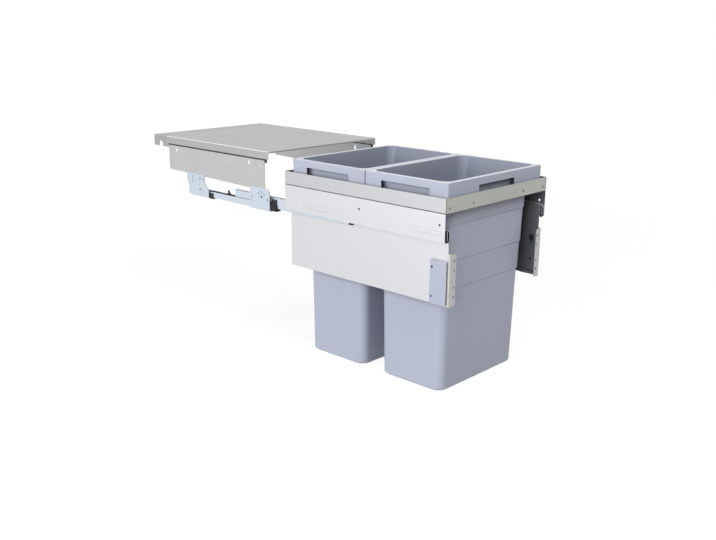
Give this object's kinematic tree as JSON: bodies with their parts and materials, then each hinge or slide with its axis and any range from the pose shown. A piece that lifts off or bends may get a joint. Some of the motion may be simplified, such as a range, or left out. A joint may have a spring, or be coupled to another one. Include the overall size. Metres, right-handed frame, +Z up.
{
  "type": "pull out bin frame",
  "caption": "Steel pull-out frame on telescopic slides with lift-out bins, door brackets at the front and a lid that stays in the cabinet.",
  "frame": {"origin": "midway between the cabinet's side walls, in the plane of the cabinet's front edge, level with the underside of the cabinet rails", "axes": "+X to the right seen from the front, +Y back into the cabinet, +Z up; the frame pulls out along -Y"},
  "size_m": [0.418, 1.0923, 0.5283],
  "materials": {
    "satin_steel": "satin silver sheet",
    "lid_steel": "satin silver sheet",
    "bracket_steel": "satin zinc",
    "zinc_steel": "bright zinc plated",
    "screw_steel": "zinc plated",
    "ball_steel": "polished",
    "black_plastic": "moulded",
    "cage_plastic": "moulded",
    "cover_plastic": "fine moulded grain",
    "bin_plastic": "fine moulded grain",
    "buffer_rubber": "matt"
  },
  "bodies": {
    "cabinet_side": {"cabinet_rail_left": "zinc_steel", "cabinet_rail_right": "zinc_steel", "front_wall_bracket_left": "zinc_steel", "front_wall_bracket_right": "zinc_steel", "rear_wall_bracket_left": "zinc_steel", "rear_wall_bracket_right": "zinc_steel", "front_guide_left": "black_plastic", "front_guide_right": "black_plastic", "rear_guide_left": "black_plastic", "rear_guide_right": "black_plastic", "catch_track_left": "black_plastic", "catch_track_right": "black_plastic", "lid_side_plate_left": "satin_steel", "lid_side_plate_right": "satin_steel", "lid_buffers_left": "buffer_rubber", "lid_buffers_right": "buffer_rubber", "lid_panel": "lid_steel", "lid_rear_strip": "lid_steel"},
    "frame": {"side_band_left": "satin_steel", "side_band_right": "satin_steel", "outer_side_panel_left": "satin_steel", "outer_side_panel_right": "satin_steel", "inner_side_panel_left": "satin_steel", "inner_side_panel_right": "satin_steel", "drawer_rail_left": "zinc_steel", "drawer_rail_right": "zinc_steel", "door_bracket_left": "bracket_steel", "door_bracket_right": "bracket_steel", "bracket_cover_left": "cover_plastic", "bracket_cover_right": "cover_plastic", "cover_screws_left": "screw_steel", "cover_screws_right": "screw_steel", "front_rail": "satin_steel", "rear_rail": "satin_steel"},
    "front_bin": {"front_bin": "bin_plastic"},
    "rear_bin": {"rear_bin": "bin_plastic"},
    "left_intermediate": {"intermediate_rail_left": "zinc_steel", "intermediate_end_cap_left": "black_plastic"},
    "left_lower_cage": {"lower_ball_cage_left": "cage_plastic", "lower_balls_left": "ball_steel"},
    "left_upper_cage": {"upper_ball_cage_left": "cage_plastic", "upper_balls_left": "ball_steel"},
    "left_catch": {"pull_in_catch_left": "black_plastic"},
    "right_intermediate": {"intermediate_rail_right": "zinc_steel", "intermediate_end_cap_right": "black_plastic"},
    "right_lower_cage": {"lower_ball_cage_right": "cage_plastic", "lower_balls_right": "ball_steel"},
    "right_upper_cage": {"upper_ball_cage_right": "cage_plastic", "upper_balls_right": "ball_steel"},
    "right_catch": {"pull_in_catch_right": "black_plastic"}
  },
  "joints": [
    {"name": "frame_slide", "type": "slide", "parent": "cabinet_side", "child": "frame", "axis": [0, -1, 0], "range_m": [-0.56, 0]},
    {"name": "left_intermediate_slide", "type": "slide", "parent": "cabinet_side", "child": "left_intermediate", "axis": [0, -1, 0], "range_m": [-0.28, 0]},
    {"name": "left_lower_cage_slide", "type": "slide", "parent": "cabinet_side", "child": "left_lower_cage", "axis": [0, -1, 0], "range_m": [-0.14, 0]},
    {"name": "left_upper_cage_slide", "type": "slide", "parent": "cabinet_side", "child": "left_upper_cage", "axis": [0, -1, 0], "range_m": [-0.42, 0]},
    {"name": "left_catch_slide", "type": "slide", "parent": "cabinet_side", "child": "left_catch", "axis": [0, -1, 0], "range_m": [-0.04, 0]},
    {"name": "right_intermediate_slide", "type": "slide", "parent": "cabinet_side", "child": "right_intermediate", "axis": [0, -1, 0], "range_m": [-0.28, 0]},
    {"name": "right_lower_cage_slide", "type": "slide", "parent": "cabinet_side", "child": "right_lower_cage", "axis": [0, -1, 0], "range_m": [-0.14, 0]},
    {"name": "right_upper_cage_slide", "type": "slide", "parent": "cabinet_side", "child": "right_upper_cage", "axis": [0, -1, 0], "range_m": [-0.42, 0]},
    {"name": "right_catch_slide", "type": "slide", "parent": "cabinet_side", "child": "right_catch", "axis": [0, -1, 0], "range_m": [-0.04, 0]},
    {"name": "front_bin_lift", "type": "slide", "parent": "frame", "child": "front_bin", "axis": [0, 0, 1], "range_m": [0, 0.5]},
    {"name": "rear_bin_lift", "type": "slide", "parent": "frame", "child": "rear_bin", "axis": [0, 0, 1], "range_m": [0, 0.5]}
  ],
  "couplings": [
    {"joint": "left_intermediate_slide", "follows": "frame_slide", "ratio": 0.5},
    {"joint": "left_lower_cage_slide", "follows": "frame_slide", "ratio": 0.25},
    {"joint": "left_upper_cage_slide", "follows": "frame_slide", "ratio": 0.75},
    {"joint": "right_intermediate_slide", "follows": "frame_slide", "ratio": 0.5},
    {"joint": "right_lower_cage_slide", "follows": "frame_slide", "ratio": 0.25},
    {"joint": "right_upper_cage_slide", "follows": "frame_slide", "ratio": 0.75}
  ]
}
